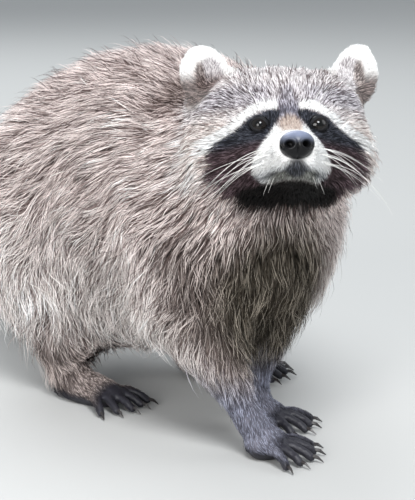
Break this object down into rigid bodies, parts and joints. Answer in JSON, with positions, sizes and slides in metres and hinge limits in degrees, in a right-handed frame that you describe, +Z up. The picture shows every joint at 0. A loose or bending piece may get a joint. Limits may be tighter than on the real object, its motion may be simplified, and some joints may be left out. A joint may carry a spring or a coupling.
{
  "type": "raccoon",
  "caption": "Life-size raccoon standing on all fours with its head raised and turned to its right, masked face, ringed bushy tail held low",
  "frame": {"origin": "on the floor, under the middle of the model's bounding box", "axes": "+Z up, the body faces -Y, so its left side is +X"},
  "size_m": [0.2798, 0.7296, 0.3261],
  "materials": {
    "coat": "long grizzled fur",
    "white_coat": "short pale fur",
    "nose_leather": "moist pebbled leather",
    "paw_leather": "smooth dark skin with short hair above",
    "eye": "wet gloss",
    "claw": "horn, satin"
  },
  "bodies": {
    "root": {"head": "coat", "neck": "coat", "chest": "coat", "loin": "coat", "tail_base": "coat", "tail_middle": "coat", "tail_tip": "coat", "muzzle": "white_coat", "nose": "nose_leather", "ear_right": "white_coat", "eye_right": "eye", "shoulder_right": "coat", "forearm_right": "coat", "thigh_right": "coat", "shank_right": "coat", "forepaw_right": "paw_leather", "hindpaw_right": "paw_leather", "claw_fore_right_1": "claw", "claw_fore_right_2": "claw", "claw_fore_right_3": "claw", "claw_fore_right_4": "claw", "claw_fore_right_5": "claw", "claw_hind_right_1": "claw", "claw_hind_right_2": "claw", "claw_hind_right_3": "claw", "claw_hind_right_4": "claw", "claw_hind_right_5": "claw", "ear_left": "white_coat", "eye_left": "eye", "shoulder_left": "coat", "forearm_left": "coat", "thigh_left": "coat", "shank_left": "coat", "forepaw_left": "paw_leather", "hindpaw_left": "paw_leather", "claw_fore_left_1": "claw", "claw_fore_left_2": "claw", "claw_fore_left_3": "claw", "claw_fore_left_4": "claw", "claw_fore_left_5": "claw", "claw_hind_left_1": "claw", "claw_hind_left_2": "claw", "claw_hind_left_3": "claw", "claw_hind_left_4": "claw", "claw_hind_left_5": "claw"}
  },
  "joints": []
}
